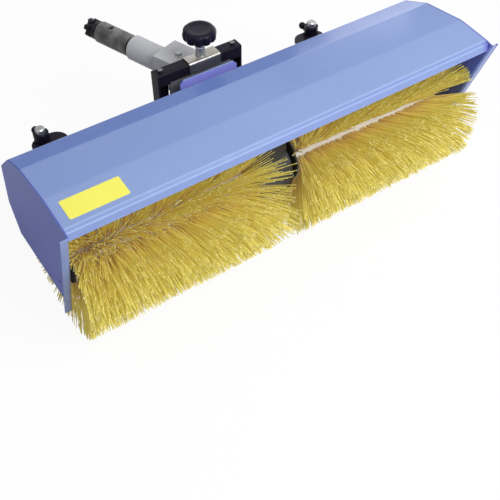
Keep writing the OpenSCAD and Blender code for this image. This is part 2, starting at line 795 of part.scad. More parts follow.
// The key's own block, up to height top above the brush axis
module key_slot(top)
    block([-key_len / 2, key_len / 2], [-key_w / 2, key_w / 2], [shaft_d / 2 - key_h / 2, top]);
module wheel_key() color(steel) at_axle() key_slot(shaft_d / 2 + key_h / 2);

// The four corners of a tooth, each as its side and radius
function tooth(root, tip) = [[-1, root], [-1, tip], [1, tip], [1, root]];

// Half angle of a wheel tooth at radius r, from its thickness on the pitch circle
wheel_half = wheel_thick_share * gear_pitch / 2;
wheel_root_r = wheel_pitch_r - dedendum;
wheel_tip_r = wheel_pitch_r + addendum;
function wheel_angle(r) = (wheel_half + (wheel_pitch_r - r) * tan(flank)) / r * 180 / PI;
wheel_outline = [
    for (i = [0 : wheel_teeth - 1], c = tooth(wheel_root_r, wheel_tip_r))
        let (a = (i + 0.5) * 360 / wheel_teeth + c[0] * wheel_angle(c[1]))
        c[1] * [cos(a), sin(a)]
];

module worm_wheel() color("#b08d4f") at_axle() difference() {
    lead_angle = atan(worm_lead / (2 * PI * worm_pitch_r));
    turn = wheel_face * tan(lead_angle) / wheel_pitch_r * 180 / PI;
    union() {
        rotate([0, 90, 0]) rotate([0, 0, turn / 2])
            linear_extrude(wheel_face, center = true, twist = turn, slices = wheel_slices)
                polygon(wheel_outline);
        rod_x(wheel_hub_r, -wheel_hub_w / 2, wheel_hub_w / 2);
    }
    rod_x(shaft_d / 2, -wheel_hub_w, wheel_hub_w);
    block([-wheel_hub_w, wheel_hub_w], [-key_w / 2, key_w / 2], [0, shaft_d / 2 + key_h / 2]);
}

module core() difference() {
    rod_x(core_r, core_in, core_out);
    rod_x(core_r - core_wall, core_in - over, core_out + over);
}
module right_core() color(beige) at_axle() core();
module left_core() color(beige) at_axle() mirror([1, 0, 0]) core();

module hub_pin_place() translate([core_in - hub_pin_out, 0, 0]) children();

// A hub at the end x of a core; dir points into the core
module hub(x, dir, boss_out) translate([x, 0, 0]) rotate([0, 90 * dir, 0]) difference() {
    union() {
        rod_z(core_r - hub_flange_in, -hub_flange_t, 0);
        rod_z(core_r - core_wall, 0, hub_spigot);
        rod_z(hub_boss_r, -boss_out, hub_boss_in);
    }
    rod_z(shaft_d / 2, -boss_out - over, hub_boss_in + over);
}
module inner_hubs() color(dark_steel) at_axle() both_ends() difference() {
    hub(core_in, 1, hub_boss_out);
    hub_pin_place() rod_z(hub_pin_d / 2, -hub_boss_r - over, hub_boss_r + over);
}
module outer_hubs() color(dark_steel) at_axle() both_ends() hub(core_out, -1, hub_flange_t);

module hub_pins() color(steel) at_axle() both_ends()
    hub_pin_place() rod_z(hub_pin_d / 2, -hub_boss_r, hub_boss_r);

module shaft_end_bolts() color(steel) at_axle() both_ends() translate([core_out + hub_flange_t, 0, 0])
    rotate([0, 90, 0]) {
        rod_z(end_washer_r, 0, end_washer_t);
        translate([0, 0, end_washer_t]) bolt(end_bolt_d, end_bolt_len + end_washer_t - over);
    }

// Strands of one half, as one closed surface: a faceted sleeve whose every cell carries a strand
sleeve_in_r = (core_r + run_fit) / cos(strand_step / 2);
sleeve_out_r = sleeve_in_r + backing_t;
cell_len = core_len / strand_cols;
root_turn = strand_root / 2 / sleeve_out_r * 180 / PI;
function polar(x, r, a) = [x, r * cos(a), r * sin(a)];
// Lean of a strand along x at share t of the core's length from its inner end
function lean(t) = flare_out * pow(t, flare_power) - flare_in * pow(1 - t, flare_power);
function grid_id(i, j) = i * strand_rows + j % strand_rows;
grid_count = (strand_cols + 1) * strand_rows;
grid_points = [
    for (i = [0 : strand_cols], j = [0 : strand_rows - 1])
        polar(core_in + i * cell_len, sleeve_out_r, j * strand_step)
];
corners = [[-1, -1], [1, -1], [1, 1], [-1, 1]];
strand_points = [
    for (i = [0 : strand_cols - 1], j = [0 : strand_rows - 1])
        let (
            x = core_in + (i + 0.5) * cell_len,
            a = (j + 0.5) * strand_step,
            tip_x = x + lean((i + 0.5) / strand_cols),
            flat_r = sleeve_out_r * cos(strand_step / 2) / cos(root_turn),
            half = strand_tip / 2
        )
        each concat(
            [for (c = corners) polar(x + c[0] * strand_root / 2, flat_r, a + c[1] * root_turn)],
            [for (c = corners) [
                tip_x + c[0] * half,
                tip_r * cos(a) - c[1] * half * sin(a),
                tip_r * sin(a) + c[1] * half * cos(a)
            ]]
        )
];
inner_points = [
    for (x = [core_in, core_out], j = [0 : strand_rows - 1]) polar(x, sleeve_in_r, j * strand_step)
];
function quad(a, b, c, d) = [[a, b, c], [a, c, d]];
function ring(p, q) = [for (k = [0 : 3]) each quad(p[k], p[(k + 1) % 4], q[(k + 1) % 4], q[k])];
strand_faces = [
    for (i = [0 : strand_cols - 1], j = [0 : strand_rows - 1])
        let (
            cell = [grid_id(i, j), grid_id(i + 1, j), grid_id(i + 1, j + 1), grid_id(i, j + 1)],
            first = grid_count + 8 * (i * strand_rows + j),
            root = [for (k = [0 : 3]) first + k],
            tip = [for (k = [0 : 3]) first + 4 + k]
        )
        each concat(ring(cell, root), ring(root, tip), quad(tip[0], tip[1], tip[2], tip[3]))
];
inner_first = grid_count + 8 * strand_cols * strand_rows;
function inner_id(e, j) = inner_first + e * strand_rows + j % strand_rows;
sleeve_faces = [
    for (j = [0 : strand_rows - 1])
        each concat(
            quad(inner_id(0, j + 1), inner_id(1, j + 1), inner_id(1, j), inner_id(0, j)),
            quad(grid_id(0, j + 1), inner_id(0, j + 1), inner_id(0, j), grid_id(0, j)),
            quad(grid_id(strand_cols, j), inner_id(1, j), inner_id(1, j + 1), grid_id(strand_cols, j + 1))
        )
];
module bristles() polyhedron(
    points = concat(grid_points, strand_points, inner_points),
    faces = [for (f = concat(strand_faces, sleeve_faces)) reversed(f)]
);
module right_bristles() color(straw) at_axle() bristles();
module left_bristles() color(straw) at_axle() mirror([1, 0, 0]) bristles();

// Worm

module worm_shaft() color(steel) at_worm() {
    rod_y(worm_shaft_d / 2, -tunnel_front - small_bearing_w, pivot_y - cup_deep - cup_floor);
    rod_y(cup_stub_r, 0, pivot_y - cup_deep);
}

// Outline of the worm square to its axis, with one crest for each start
worm_half = worm_thick_share * gear_pitch / 2;
worm_tip_r = worm_pitch_r + addendum;
worm_root_r = worm_pitch_r - dedendum;
function worm_angle(r) = (worm_half + (worm_pitch_r - r) * tan(flank)) / worm_lead * 360;
worm_outline = [
    for (i = [0 : worm_starts - 1], c = tooth(worm_root_r, worm_tip_r))
        let (a = 90 + i * 360 / worm_starts + c[0] * worm_angle(c[1]))
        c[1] * [cos(a), sin(a)]
];
module worm() color(steel) at_worm() difference() {
    turn = 360 * worm_len / worm_lead;
    rotate([-90, 0, 0]) rotate([0, 0, turn / 2])
        linear_extrude(worm_len, center = true, twist = turn, slices = worm_slices) polygon(worm_outline);
    rod_y(worm_shaft_d / 2, -worm_len, worm_len);
}

module drive_cup() color(steel) at_worm() translate([0, pivot_y, 0]) difference() {
    slot_half = joint_pin_d / 2 + joint_slot_gap;
    slot_front = joint_pin_half * sin(swivel) + slot_half;
    rod_y(cup_r, -cup_deep - cup_floor, cup_back);
    rod_y(cup_in_r, -cup_deep, cup_back + over);
    rod_y(cup_stub_r, -cup_deep - cup_floor - over, 0);
    block([-slot_half, slot_half], [-slot_front, cup_back + over], [-cup_r - over, cup_r + over]);
}

// Swivel head

module head_casting() color(cast_grey) at_head() difference() {
    union() {
        block([-block_half, block_half], [-block_front, block_back], [-block_half, block_half]);
        rod_y(head_neck_d / 2, 0, head_neck_end);
        both_heights() rod_z(ear_r, ear_in, block_half);
        block([-tongue_r, tongue_r], [-stud_reach, 0], [ear_in, block_half]);
        translate([0, -stud_reach, 0]) rod_z(tongue_r, ear_in, block_half);
    }
    block(
        [side_wall - block_half, block_half - side_wall],
        [-block_front - over, cavity_back],
        [-ear_in, ear_in]
    );
    rod_y(small_bearing_r, 0, cavity_back + input_bearing_w);
    rod_y(input_shaft_d / 2 + wide_gap, 0, head_neck_end + over);
    rod_y(shank_r, head_neck_end - shank_len, head_neck_end + over);
    both_heights() rod_z(pin_d / 2, 0, block_half + over);
    translate([0, -stud_reach, 0]) rod_z(stud_d / 2, 0, block_half + over);
    translate([0, plug_back, 0]) rod_z(plug_d / 2, block_half - plug_deep, block_half + over);
}

module filler_plug() color(steel) at_head() translate([0, plug_back, block_half]) bolt(plug_d, plug_deep);

module spigot() color(dark_steel) at_head() difference() {
    union() {
        rod_y(shank_r, head_neck_end - shank_len, spigot_end);
        rod_y(spigot_d / 2 - step_depth, head_neck_end, spigot_end);
        rod_y(spigot_d / 2, head_neck_end + step_w, spigot_end);
    }
    rod_y(small_bearing_r, head_neck_end - shank_len - over, spigot_end + over);
    translate([0, spigot_end - lock_hole_in, 0]) rod_z(lock_hole_d / 2, 0, spigot_d);
}

module pivot_pins() color(steel) at_head() both_heights() {
    rod_z(pin_d / 2, fork_in, block_half);
    rod_z(pin_head_r, block_half, block_half + pin_head_h);
}

module input_bearings() color(steel) at_head() {
    for (y = [cavity_back, spigot_end - seal_in - seal_w - input_bearing_w])
        translate([0, y, 0]) rotate([-90, 0, 0])
            bearing(input_shaft_d / 2 + run_fit, small_bearing_r, input_bearing_w);
}

module input_seal() color(black) at_head() translate([0, spigot_end - seal_in - seal_w, 0])
    rotate([-90, 0, 0]) seal(input_shaft_d / 2 + run_fit, small_bearing_r, seal_w);

module clamp_stud() color(steel) at_head() translate([0, -stud_reach, -head_z])
    rod_z(stud_d / 2, head_z + ear_in, knob_z + knob_h - knob_wall - over);

module input_shaft() color(steel) at_head() difference() {
    union() {
        sphere(r = ball_r);
        rod_y(ball_neck_r, 0, cavity_back);
        rod_y(input_shaft_d / 2, cavity_back, dog_end - dog_tooth_len);
    }
    rod_z(joint_pin_d / 2, -joint_pin_half, joint_pin_half);
}

module joint_pin() color(steel) at_head() rod_z(joint_pin_d / 2, -joint_pin_half, joint_pin_half);

// A collar and a claw with round notches
module drive_dog() color(black) at_head() difference() {
    dog_r = dog_d / 2;
    front = spigot_end + dog_gap;
    neck = front + dog_hub_len;
    claw = neck + dog_neck;
    union() {
        rod_y(dog_r, front, neck);
        rod_y(dog_r - dog_groove, front, dog_end);
        rod_y(dog_r, claw, dog_end);
    }
    rod_y(input_shaft_d / 2, front - over, neck);
    rod_y(dog_bore_share * dog_r, claw, dog_end + over);
    for (i = [0 : dog_teeth - 1]) rotate([0, i * 360 / dog_teeth, 0])
        translate([dog_r, 0, 0]) rod_y(dog_slot_share * dog_r, claw, dog_end + over);
}

// Clamp

module saddle() color(zinc) place() translate([stud_x, 0, 0]) difference() {
    reach = bar_w / 2 + free_gap + saddle_t;
    foot = bar_z + saddle_t;
    top = saddle_z + saddle_t;
    profile_x(-saddle_len / 2, saddle_len / 2) polygon(sheet(bent(
        [[bar_y - reach, foot], [bar_y - reach, top], [bar_y + reach, top], [bar_y + reach, foot]],
        [saddle_round, saddle_round]
    ), saddle_t));
    translate([0, stud_mid_y, 0])
        rod_z(stud_d / 2 + stud_drift + slot_gap, saddle_z - over, saddle_z + saddle_t + over);
}

module at_stud() at_head() translate([0, -stud_reach, -head_z]) children();

module star_knob() color(black) at_stud() translate([0, 0, knob_z]) difference() {
    r = knob_d / 2;
    rotate_extrude() polygon([for (k = knob_shares) [k[0] * r, k[1] * knob_h]]);
    for (i = [0 : knob_lobes - 1]) rotate([0, 0, (i + 0.5) * 360 / knob_lobes])
        translate([lobe_out_share * r, 0, knob_h / 2]) rotate([0, lobe_lean, 0])
            rod_z(lobe_share * r, -knob_h, knob_h);
    translate([0, 0, knob_h + dish_r - dish_depth]) sphere(r = dish_r);
    rod_z(stud_d / 2 + run_fit, -over, knob_h - knob_wall);
}

module knob_nut() color(steel) at_stud() difference() {
    union() {
        rod_z(washer_r, nut_z, nut_z + washer_t);
        translate([0, 0, nut_z]) cylinder(r = nut_r, h = washer_t + nut_h, $fn = 6);
    }
    rod_z(stud_d / 2 + run_fit, nut_z - over, knob_z + over);
}

// Support legs

shoulder_z = wheel_d + stem_shoulder;
fork_top = wheel_d + fork_gap + fork_plate_t;
module at_leg() place() translate([leg_x, leg_y, 0]) children();

module stem() at_leg() {
    top = bracket_z + bracket_t + sleeve_up + stem_up;
    rod_z(stem_d / 2, shoulder_z, top - stem_chamfer);
    translate([0, 0, top - stem_chamfer])
        cylinder(r1 = stem_d / 2, r2 = stem_d / 2 - stem_chamfer, h = stem_chamfer);
    foot = wheel_d + fork_gap - free_gap;
    rod_z(stem_journal_r, foot - stem_cap_h, shoulder_z);
    rod_z(stem_cap_r, foot - stem_cap_h, foot);
}
module right_stem() color("#c9cbce") stem();
module left_stem() color("#c9cbce") mirror([1, 0, 0]) stem();

module clamp_screw() at_leg() translate([0, 0, bracket_z + bracket_t + sleeve_up - clamp_drop]) {
    boss_end = sleeve_d / 2 + clamp_boss_len;
    knob_y = boss_end + clamp_neck;
    rod_y(clamp_screw_d / 2, stem_d / 2 + free_gap, knob_y);
    translate([0, knob_y, 0]) sphere(r = clamp_knob_r);
}
module right_clamp_screw() color(black) clamp_screw();
module left_clamp_screw() color(black) mirror([1, 0, 0]) clamp_screw();

fork_inner = wheel_w / 2 + fork_side_gap;
module fork() at_leg() difference() {
    outer = fork_inner + fork_leg_t;
    plate_z = wheel_d + fork_gap;
    axle_h = wheel_d / 2;
    union() {
        rod_z(fork_race_r, plate_z, shoulder_z - free_gap);
        block([-outer, outer], [-fork_front, castor_trail], [plate_z, fork_top]);
        both_ends() {
            profile_x(fork_inner, outer) polygon([
                [-fork_front, fork_top], [castor_trail, fork_top],
                [castor_trail + fork_foot_r, axle_h], [castor_trail - fork_foot_r, axle_h]
            ]);
            translate([0, castor_trail, axle_h]) rod_x(fork_foot_r, fork_inner, outer);
        }
    }
    rod_z(stem_journal_r + run_fit, plate_z - over, shoulder_z + over);
    translate([0, castor_trail, axle_h]) rod_x(axle_d / 2, -outer - over, outer + over);
}
module right_fork() color(steel) fork();
module left_fork() color(steel) mirror([1, 0, 0]) fork();

module at_castor_axle() at_leg() translate([0, castor_trail, wheel_d / 2]) children();

module castor_axle() at_castor_axle() {
    outer = fork_inner + fork_leg_t;
    rod_x(axle_d / 2, -outer, outer);
    rod_x(axle_head_r, outer, outer + axle_head_h);
    rod_x(axle_head_r, -outer - axle_head_h, -outer);
}
module right_axle() color(steel) castor_axle();
module left_axle() color(steel) mirror([1, 0, 0]) castor_axle();

rim_r = rim_share * wheel_d / 2;
module rim() at_castor_axle() difference() {
    union() {
        rod_x(rim_r, -wheel_w / 2, wheel_w / 2);
        rod_x(hub_r, -wheel_w / 2 - fork_side_gap / 2, wheel_w / 2 + fork_side_gap / 2);
    }
    both_ends() difference() {
        rod_x(rim_r - rim_recess / 2, wheel_w / 2 - rim_recess, wheel_w / 2 + over);
        rod_x(hub_r, 0, wheel_w);
    }
    rod_x(axle_d / 2 + run_fit, -wheel_w, wheel_w);
}
module right_rim() color("#d4d6d8") rim();
module left_rim() color("#d4d6d8") mirror([1, 0, 0]) rim();

module tyre() at_castor_axle() rotate([0, 90, 0]) {
    half = wheel_w / 2;
    r = wheel_d / 2;
    rotate_extrude() polygon(concat(
        [[rim_r, -half], [r - tyre_round, -half]],
        [[r - tyre_round / 3, tyre_round / 2 - half], [r, tyre_round - half], [r, half - tyre_round]],
        [[r - tyre_round / 3, half - tyre_round / 2], [r - tyre_round, half], [rim_r, half]]
    ));
}
module right_tyre() color("#26262a") tyre();
module left_tyre() color("#26262a") mirror([1, 0, 0]) tyre();

hood_shell();
left_end_plate();
right_end_plate();
rear_guard();
portal_lugs();
portal_posts();
portal_bar();
front_plate();
frame_bolts();
swivel_housing();
drive_neck();
gearbox_case();
left_cover();
right_cover();
cover_bolts();
shaft_bearings();
shaft_seals();
worm_bearings();
left_bracket();
right_bracket();
brush_shaft();
worm_wheel();
wheel_key();
left_core();
right_core();
left_bristles();
right_bristles();
inner_hubs();
outer_hubs();
hub_pins();
shaft_end_bolts();
worm_shaft();
worm();
drive_cup();
head_casting();
spigot();
pivot_pins();
input_bearings();
input_seal();
filler_plug();
clamp_stud();
input_shaft();
joint_pin();
drive_dog();
saddle();
star_knob();
knob_nut();
left_stem();
right_stem();
left_clamp_screw();
right_clamp_screw();
left_fork();
right_fork();
left_axle();
right_axle();
left_rim();
right_rim();
left_tyre();
right_tyre();
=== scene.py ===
"""Looks of a power brush sweeper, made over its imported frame. Lengths are in metres."""

import json
import math

import bmesh
import bpy
from mathutils import Matrix, Vector


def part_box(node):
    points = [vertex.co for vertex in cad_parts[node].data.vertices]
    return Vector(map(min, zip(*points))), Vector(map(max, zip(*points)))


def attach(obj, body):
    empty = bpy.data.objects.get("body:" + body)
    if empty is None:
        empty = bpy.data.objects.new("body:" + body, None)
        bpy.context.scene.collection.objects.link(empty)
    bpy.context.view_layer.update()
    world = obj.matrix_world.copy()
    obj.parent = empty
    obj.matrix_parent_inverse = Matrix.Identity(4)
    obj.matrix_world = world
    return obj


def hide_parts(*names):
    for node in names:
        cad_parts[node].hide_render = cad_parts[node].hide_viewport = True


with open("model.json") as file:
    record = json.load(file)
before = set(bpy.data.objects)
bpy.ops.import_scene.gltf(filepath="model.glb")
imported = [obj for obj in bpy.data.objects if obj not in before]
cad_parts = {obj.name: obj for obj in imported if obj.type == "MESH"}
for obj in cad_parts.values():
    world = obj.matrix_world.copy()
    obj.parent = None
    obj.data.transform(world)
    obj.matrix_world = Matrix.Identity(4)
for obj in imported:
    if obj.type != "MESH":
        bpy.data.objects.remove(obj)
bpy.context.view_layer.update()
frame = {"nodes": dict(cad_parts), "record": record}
NODES = frame["nodes"]
scene = bpy.context.scene
scene.view_settings.view_transform = "Standard"

# The frame's own places
shaft_low, shaft_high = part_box("brush_shaft")
core_low, core_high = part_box("right_core")
AXIS = (shaft_low + shaft_high) / 2
CORE_IN, CORE_OUT = core_low.x, core_high.x
CORE_R = (core_high.z - core_low.z) / 2
TIP_R = AXIS.z

# Folds of the hood, which run along X: y and z of each
LIP_FOLD = (AXIS.y - 0.151, 0.397)
FRONT_FOLD = (AXIS.y - 0.143, 0.402)
CREST_FOLD = (AXIS.y - 0.063, 0.4095)
WALL_FOLDS = [(AXIS.y + 0.1858, 0.3016), (AXIS.y + 0.2218, 0.1703), (AXIS.y + 0.2012, 0.0862)]

# Inner and outer face of the right end plate, and the span over which its flange turns dark
PLATE_IN, PLATE_OUT = 0.501, 0.504
FLANGE_DARK = (0.5105, 0.5125)

# The head's pivot, its turn about it at rest, and where the recess beside its casting ends,
# along the turned axis
PIVOT_Y, HEAD_TURN, RECESS_END = 0.0729, 0.3292, 0.1855


class Socket:
    """A socket of a node tree. Sums of sockets and numbers add Math nodes."""

    def __init__(self, tree, socket):
        self.tree, self.socket = tree, socket

    def math(self, operation, *values):
        return self.tree.add("ShaderNodeMath", {"operation": operation}, dict(enumerate(values)))

    def __add__(self, other):
        return self.math("ADD", self, other)

    def __radd__(self, other):
        return self.math("ADD", other, self)

    def __sub__(self, other):
        return self.math("SUBTRACT", self, other)

    def __rsub__(self, other):
        return self.math("SUBTRACT", other, self)

    def __mul__(self, other):
        return self.math("MULTIPLY", self, other)

    def __rmul__(self, other):
        return self.math("MULTIPLY", other, self)

    def __truediv__(self, other):
        return self.math("DIVIDE", self, other)

    def __pow__(self, other):
        return self.math("POWER", self, other)

    def floor(self):
        return self.math("FLOOR", self)

    def sin(self):
        return self.math("SINE", self)

    def cos(self):
        return self.math("COSINE", self)

    def above(self, other):
        return self.math("GREATER_THAN", self, other)

    def least(self, other):
        return self.math("MINIMUM", self, other)

    def most(self, other):
        return self.math("MAXIMUM", self, other)

    def size(self):
        return self.math("ABSOLUTE", self)

    def clamped(self):
        return self.tree.add("ShaderNodeClamp", {}, {"Value": self})


class Tree:
    """A shader or geometry tree that is filled node by node."""

    def __init__(self, node_tree):
        self.nodes, self.links = node_tree.nodes, node_tree.links
        self.node_tree = node_tree

    def add(self, kind, settings=None, sockets=None, out=0):
        """Adds a node: its settings first, then the values or links of its sockets."""
        node = self.nodes.new(kind)
        for name, value in (settings or {}).items():
            if name == "stops":
                ramp = node.color_ramp
                while len(ramp.elements) < len(value):
                    ramp.elements.new(0.5)
                for element, (place, colour) in zip(ramp.elements, value):
                    element.position, element.color = place, (*colour, 1)
            else:
                setattr(node, name, value)
        for name, value in (sockets or {}).items():
            if isinstance(value, Socket):
                self.links.new(value.socket, node.inputs[name])
            else:
                node.inputs[name].default_value = value
        return Socket(self, node.outputs[out])

    def axis(self, vector, name):
        """One component of a vector: X, Y or Z."""
        return self.add("ShaderNodeSeparateXYZ", {}, {0: vector}, out=name)

    def spread(self, value, low, high):
        """Zero where a value is at low, one where it is at high, and a smooth step between them."""
        return self.add(
            "ShaderNodeMapRange", {"interpolation_type": "SMOOTHSTEP"},
            {"Value": value, "From Min": low, "From Max": high},
        )


def linear(red, green, blue):
    """A colour as it is seen, from 0 to 255, as linear light by the sRGB curve."""
    return tuple(
        c / 12.92 if c <= 0.04045 else ((c + 0.055) / 1.055) ** 2.4
        for c in (red / 255, green / 255, blue / 255)
    )


class Finish(Tree):
    """A material on Object coordinates, with helpers for the patterns that the finishes share."""

    def __init__(self, name, **constants):
        self.material = bpy.data.materials.new(name)
        self.material.use_nodes = True
        super().__init__(self.material.node_tree)
        self.shader = self.nodes["Principled BSDF"]
        for socket, value in constants.items():
            self.shader.inputs[socket.replace("_", " ")].default_value = value
        self.place = self.add("ShaderNodeTexCoord", out="Object")

    def noise(self, scale, detail, stretch=None, rough=0.5):
        """Clouds, finer with a larger scale, and drawn out along an axis whose stretch is small."""
        where = self.place
        if stretch:
            where = self.add("ShaderNodeMapping", {}, {"Vector": where, "Scale": stretch})
        return self.add(
            "ShaderNodeTexNoise", {},
            {"Vector": where, "Scale": scale, "Detail": detail, "Roughness": rough},
        )

    def mix(self, share, first, second):
        """A share of the second colour over the first, each a socket or a colour as it is seen."""
        first, second = ((*linear(*c), 1) if isinstance(c, tuple) else c for c in (first, second))
        # A Mix node takes colours at its sockets 6 and 7, and gives a colour at 2
        sockets = {0: share, 6: first, 7: second}
        return self.add("ShaderNodeMix", {"data_type": "RGBA"}, sockets, out=2)

    def part(self, axis):
        """A coordinate of the place that is shaded."""
        return self.axis(self.place, axis)

    def facing(self, axis):
        """How far the face that is shaded looks along an axis."""
        return self.axis(self.add("ShaderNodeTexCoord", out="Normal"), axis)

    def near_fold(self, fold, width):
        """One on a fold, falling to zero at a width from it."""
        dy, dz = self.part("Y") - fold[0], self.part("Z") - fold[1]
        return 1 - self.spread((dy * dy + dz * dz) ** 0.5, width / 2, width)

    def feed(self, socket, value):
        """Links a value to an input of the shader."""
        self.links.new(value.socket, self.shader.inputs[socket])

    def bump(self, height, strength, depth):
        """A relief of some depth, made by shading alone."""
        sockets = {"Height": height, "Strength": strength, "Distance": depth}
        self.feed("Normal", self.add("ShaderNodeBump", {}, sockets))


# Finishes


def plain(name, dark, pale, cloud, dull, grain, relief, **constants):
    """A finish in one colour: clouds from dark to pale, which also dull it, and a fine grain.

    Cloud and grain are noises, dull is the least roughness and what a cloud adds to it, and
    relief is the strength and depth of the grain.
    """
    f = Finish(name, **constants)
    patch = f.noise(*cloud)
    f.feed("Base Color", f.mix(patch, dark, pale))
    f.feed("Roughness", dull[0] + dull[1] * patch)
    f.bump(f.noise(*grain), *relief)
    return f.material


def rubber(name, dark, pale):
    """Dull moulded rubber."""
    return plain(
        name, dark, pale, cloud=(60.0, 4.0), dull=(0.62, 0.16), grain=(520.0, 3.0),
        relief=(0.2, 0.0005),
    )


def hood_paint():
    """Blue stove enamel with a faint orange peel and dust, its tones painted lit and shaded by
    facing, with painted highlights on the front folds.
    """
    f = Finish("hood_blue_enamel", Specular_IOR_Level=0.12)
    cloud = f.noise(5.0, 3.0)
    dust = f.spread(f.noise(38.0, 4.0, rough=0.65), 0.56, 0.74)
    endways, frontward = f.facing("X").size(), 0 - f.facing("Y")

    # Tones painted by facing, lit and shaded copies of one blue: walls, ends in painted shade, the
    # top and front in painted light, with another front tone on the guard behind the hood
    wall = f.mix(cloud, (106, 134, 208), (113, 141, 214))
    # Painted shade: the darker tone of the ends that look sideways
    end = f.mix(cloud, (85, 100, 190), (92, 107, 196))
    lit_top = f.mix(cloud, (130, 149, 194), (137, 156, 200))
    behind_hood = f.spread(f.part("Y"), -0.06, -0.02)
    # Painted light on the faces that look to the front
    front = f.mix(behind_hood, (120, 138, 186), (142, 144, 214))
    lit_facing = 0.5 * frontward + 0.866 * f.facing("Z")
    base = f.mix(endways.clamped(), wall, end)
    base = f.mix(f.spread(lit_facing, 0.55, 0.95), base, lit_top)
    base = f.mix(f.spread(frontward, 0.2, 0.6), base, front)
    # Painted highlights along the front fold and the lip fold
    fold_highlight = f.near_fold(FRONT_FOLD, 0.0028).most(f.near_fold(LIP_FOLD, 0.0024))
    base = f.mix(fold_highlight * 0.35, base, (164, 187, 220))

    # Shade on the cut edges of the end plates, on the right flange and on the lip beside it
    off_middle = f.part("X").size()
    past_shell = f.spread(off_middle, PLATE_IN - 0.0006, PLATE_IN + 0.0004)
    cut = past_shell * (1 - f.spread(off_middle, PLATE_OUT, PLATE_OUT + 0.0006))
    flange = f.spread(f.part("X"), *FLANGE_DARK)
    lip = f.spread(f.part("Y"), AXIS.y - 0.14, AXIS.y - 0.15)
    right_end = f.spread(f.part("X"), 0.482, 0.4995)
    corner = right_end * lip * (1 - cut) * (1 - past_shell)
    base = f.mix((cut * (1 - endways)).clamped() * 0.8, base, (70, 74, 164))
    base = f.mix(flange * 0.85, base, (60, 62, 150))
    base = f.mix(corner.clamped() * 0.75, base, (96, 88, 172))

    f.feed("Base Color", f.mix(dust * 0.07, base, (176, 184, 206)))
    f.feed("Roughness", 0.13 + 0.05 * cloud + 0.03 * dust + 0.2 * endways)
    f.bump(f.noise(420.0, 1.0), 0.08, 0.0006)
    return f.material


def zinc_plate():
    """Yellow passivated zinc: pale metal with straw and olive clouds."""
    f = Finish("yellow_zinc", Metallic=0.65)
    cloud = f.spread(f.noise(26.0, 4.0), 0.35, 0.68)
    tint = f.spread(f.noise(60.0, 3.0, (1.0, 1.0, 2.2)), 0.42, 0.62)
    base = f.mix(cloud, (164, 163, 160), (140, 139, 134))
    base = f.mix(tint * 0.35, base, (168, 156, 126))
    # Painted shade on the ends of the front plate, and a painted dark reflection on the front of
    # the saddle, which begins above it
    saddle = f.spread(f.part("Z"), 0.3025, 0.3035)
    shaded_plate_ends = f.spread(f.facing("X").size(), 0.7, 0.95) * (1 - saddle)
    saddle_front_reflection = f.spread(0 - f.facing("Y"), 0.6, 0.95) * saddle
    base = f.mix(shaded_plate_ends, base, (74, 72, 68))
    f.feed("Base Color", f.mix(saddle_front_reflection, base, (104, 104, 112)))
    f.feed("Roughness", 0.24 + 0.16 * cloud)
    f.bump(f.noise(700.0, 2.0), 0.05, 0.0003)
    return f.material


def bright_steel():
    """Bright plated steel with fine drawn lines, and painted shade on its flat tops."""
    f = Finish("bright_plated_steel", Metallic=0.85)
    lines = f.noise(90.0, 3.0, (1.0, 1.0, 14.0))
    base = f.mix(lines, (158, 161, 163), (206, 208, 208))
    # Painted shade on the faces that look up
    shaded_flat_top = f.spread(f.facing("Z"), 0.96, 0.99)
    f.feed("Base Color", f.mix(shaded_flat_top, base, (142, 143, 143)))
    f.feed("Roughness", 0.26 + 0.16 * lines)
    f.bump(lines, 0.06, 0.0004)
    return f.material


def turned_steel():
    """Dark oiled steel with turning rings along the head's axis."""
    f = Finish("dark_turned_steel", Metallic=0.55, Specular_IOR_Level=0.3)
    cloud = f.noise(34.0, 4.0)
    turned = f.add("ShaderNodeMapping", {}, {"Vector": f.place, "Rotation": (0, 0, -HEAD_TURN)})
    rings = f.add(
        "ShaderNodeTexWave", {"bands_direction": "Y"},
        {"Vector": turned, "Scale": 260.0, "Distortion": 1.2, "Detail": 2.0}, out="Fac",
    )
    base = f.mix(f.spread(cloud, 0.35, 0.65), (80, 80, 81), (118, 118, 118))
    base = f.mix(rings * 0.2, base, (122, 122, 120))
    # Painted shade in the recess beside the casting
    along = math.cos(HEAD_TURN) * (f.part("Y") - PIVOT_Y) - math.sin(HEAD_TURN) * f.part("X")
    recess_shade = f.spread(along, RECESS_END + 0.001, RECESS_END - 0.001)
    f.feed("Base Color", f.mix(recess_shade * 0.9, base, (20, 20, 21)))
    f.feed("Roughness", 0.36 + 0.14 * cloud)
    f.bump(rings, 0.08, 0.0003)
    return f.material


def black_steel():
    """Blackened steel with a dull oily shine, and a painted highlight on the upward faces of the
    bolt heads of the frame.
    """
    f = Finish("blackened_steel", Metallic=0.4, Specular_IOR_Level=0.2)
    cloud = f.noise(70.0, 4.0)
    base = f.mix(cloud, (26, 25, 32), (46, 45, 52))
    # Painted highlight on the faces that look up, on the frame's bolt heads
    on_frame = f.spread(f.part("Y"), 0.2, 0.1)
    bolt_highlight = f.spread(f.facing("Z"), 0.96, 0.995) * on_frame
    f.feed("Base Color", f.mix(bolt_highlight, base, (116, 116, 119)))
    f.feed("Roughness", 0.34 + 0.18 * cloud)
    f.bump(f.noise(600.0, 2.0), 0.12, 0.0004)
    return f.material


def grey_casting():
    """Light grey cast metal with a sand-cast skin."""
    f = Finish("grey_cast_skin", Metallic=0.15)
    cloud = f.noise(18.0, 4.0)
    grain = f.noise(240.0, 4.0, rough=0.6)
    base = f.mix(cloud, (176, 177, 182), (198, 199, 203))
    pits = f.spread(grain, 0.55, 0.75)
    f.feed("Base Color", f.mix(pits * 0.25, base, (128, 129, 133)))
    f.feed("Roughness", 0.52 + 0.12 * cloud)
    f.bump(grain, 0.22, 0.0008)
    return f.material


